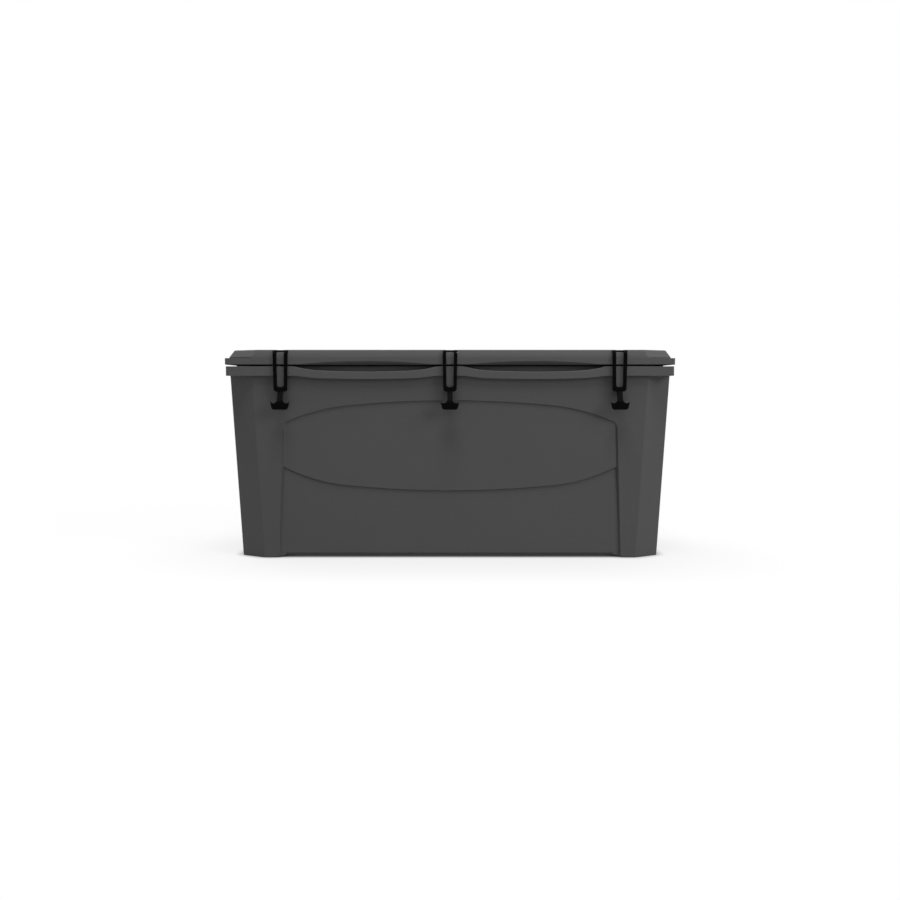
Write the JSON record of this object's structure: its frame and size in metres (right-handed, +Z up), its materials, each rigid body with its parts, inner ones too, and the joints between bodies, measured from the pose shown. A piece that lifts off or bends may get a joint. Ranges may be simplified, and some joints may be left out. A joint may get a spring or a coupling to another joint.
{
  "type": "cooler chest",
  "caption": "Long rotomoulded cooler chest with a hinged insulated lid, rubber draw latches along the front, finger scoops in the rim, corner feet and an end drain.",
  "frame": {"origin": "on the floor, under the middle of the lid's footprint", "axes": "+X along the chest to its right as seen from the front, -Y towards the latches, +Z up"},
  "size_m": [1.06, 0.537, 0.497],
  "materials": {
    "shell_plastic": "rotomoulded polyethylene, fine satin grain",
    "insulation": "rigid poured foam",
    "latch_rubber": "moulded rubber, satin",
    "gasket_rubber": "soft seal rubber, matt",
    "pad_rubber": "non-slip rubber, matt",
    "drain_plastic": "injection-moulded, fine texture",
    "pin_steel": "drawn stainless rod",
    "screw_steel": "stainless, turned"
  },
  "bodies": {
    "tub": {"tub_shell": "shell_plastic", "tub_foam": "insulation", "hinge_rod_left": "pin_steel", "hinge_rod_right": "pin_steel", "drain_fitting": "drain_plastic", "drain_fitting_gasket": "gasket_rubber", "drain_nut": "drain_plastic", "foot_pad_front_left": "pad_rubber", "foot_pad_front_right": "pad_rubber", "foot_pad_rear_left": "pad_rubber", "foot_pad_rear_right": "pad_rubber", "foot_pad_screws": "screw_steel"},
    "lid": {"lid_shell": "shell_plastic", "lid_foam": "insulation", "lid_gasket": "gasket_rubber", "latch_pin_left": "pin_steel", "latch_pin_centre": "pin_steel", "latch_pin_right": "pin_steel", "hinge_rod_caps": "drain_plastic"},
    "strap_left": {"latch_strap_left": "latch_rubber"},
    "strap_centre": {"latch_strap_centre": "latch_rubber"},
    "strap_right": {"latch_strap_right": "latch_rubber"},
    "plug_ring": {"drain_plug_gasket": "gasket_rubber"},
    "plug": {"drain_plug": "drain_plastic"}
  },
  "joints": [
    {"name": "lid_hinge", "type": "hinge", "parent": "tub", "child": "lid", "pos_m": [0, 0.2585, 0.461], "axis": [-1, 0, 0], "range_deg": [0, 100]},
    {"name": "latch_left_swing", "type": "hinge", "parent": "lid", "child": "strap_left", "pos_m": [-0.3985, -0.232, 0.4897], "axis": [-1, 0, 0], "range_deg": [0, 130]},
    {"name": "latch_centre_swing", "type": "hinge", "parent": "lid", "child": "strap_centre", "pos_m": [0, -0.232, 0.4897], "axis": [-1, 0, 0], "range_deg": [0, 130]},
    {"name": "latch_right_swing", "type": "hinge", "parent": "lid", "child": "strap_right", "pos_m": [0.3985, -0.232, 0.4897], "axis": [-1, 0, 0], "range_deg": [0, 130]},
    {"name": "drain_plug_travel", "type": "slide", "parent": "tub", "child": "plug_ring", "axis": [1, 0, 0], "range_m": [0, 0.014]},
    {"name": "drain_plug_turn", "type": "hinge", "parent": "plug_ring", "child": "plug", "pos_m": [0.5, 0, 0.08], "axis": [1, 0, 0], "range_deg": [0, 1260]}
  ],
  "couplings": [
    {"joint": "drain_plug_travel", "follows": "drain_plug_turn", "m_per_rad": 0.0006366}
  ]
}
